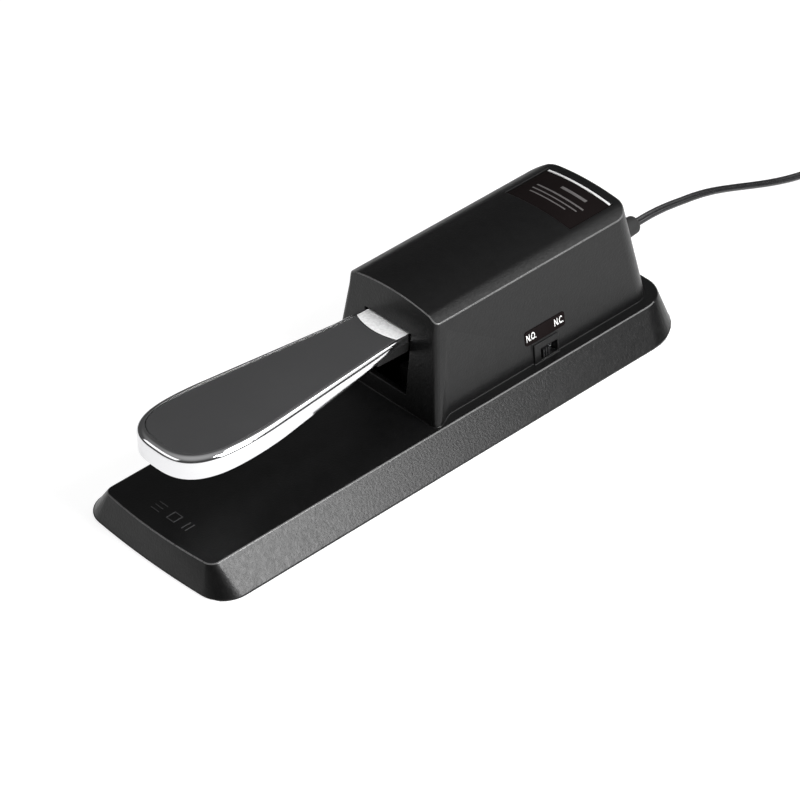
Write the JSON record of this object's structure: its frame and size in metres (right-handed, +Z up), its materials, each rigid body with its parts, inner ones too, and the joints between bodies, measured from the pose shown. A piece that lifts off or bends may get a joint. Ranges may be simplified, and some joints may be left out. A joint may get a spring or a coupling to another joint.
{
  "type": "sustain pedal",
  "caption": "Piano-style sustain foot pedal: low black housing, hinged chrome lever, polarity slide switch and a flat twin lead coiled up to its jack plug.",
  "frame": {"origin": "centre of the footprint on the surface the pedal stands on", "axes": "+Z up, -Y towards the toe end of the lever, +Y towards the lead, +X towards the polarity switch side"},
  "size_m": [0.1133, 0.4315, 0.0574],
  "materials": {
    "black_plastic": "fine spark-eroded grain",
    "plate_steel": "zinc plated sheet",
    "black_rubber": "matt",
    "screw_steel": "zinc plated",
    "lever_chrome": "bright chrome plate",
    "inlay_plastic": "smooth satin",
    "pin_steel": "drawn wire",
    "natural_plastic": "unpigmented",
    "board_green": "solder mask",
    "switch_plastic": "smooth",
    "plunger_red": "smooth",
    "label_dark": "printed film",
    "wire_red": "insulated wire",
    "lead_sheath": "soft vinyl sheath",
    "plug_metal": "nickel plate"
  },
  "bodies": {
    "base": {"housing": "black_plastic", "base_plate": "plate_steel", "rubber_mat": "black_rubber", "bottom_screws": "screw_steel", "hinge_pin": "pin_steel", "pin_clips": "screw_steel", "hinge_bracket": "plate_steel", "bracket_rivets": "screw_steel", "return_spring": "pin_steel", "spring_cup": "natural_plastic", "up_stop_pad": "black_rubber", "down_stop_block": "black_rubber", "circuit_board": "board_green", "board_spacers": "natural_plastic", "board_screws": "screw_steel", "sense_switch": "switch_plastic", "polarity_switch": "plate_steel", "polarity_label": "label_dark", "top_label": "label_dark", "switch_wires": "wire_red", "strain_relief": "black_rubber", "lead_tube": "lead_sheath", "lead_coil": "lead_sheath", "lead_tail": "lead_sheath", "plug_handle": "switch_plastic", "plug_sleeve": "plug_metal", "plug_insulator": "switch_plastic", "plug_tip": "plug_metal"},
    "lever": {"lever_arm": "black_plastic", "lever_shell": "lever_chrome", "lever_inlay": "inlay_plastic", "shell_screws": "screw_steel"},
    "plunger": {"sense_plunger": "plunger_red"},
    "knob": {"polarity_knob": "switch_plastic"}
  },
  "joints": [
    {"name": "pedal_hinge", "type": "hinge", "parent": "base", "child": "lever", "pos_m": [0, 0.086, 0.0279], "axis": [1, 0, 0], "range_deg": [0, 6], "stiffness_Nm_per_rad": 8, "springref_deg": -5.01, "deforming": ["return_spring"]},
    {"name": "sense_plunger_slide", "type": "slide", "parent": "base", "child": "plunger", "axis": [0, 0, -1], "range_m": [0, 0.00216]},
    {"name": "polarity_slide", "type": "slide", "parent": "base", "child": "knob", "axis": [0, 1, 0], "range_m": [0, 0.003]}
  ],
  "couplings": [
    {"joint": "sense_plunger_slide", "follows": "pedal_hinge", "m_per_rad": 0.0205}
  ]
}
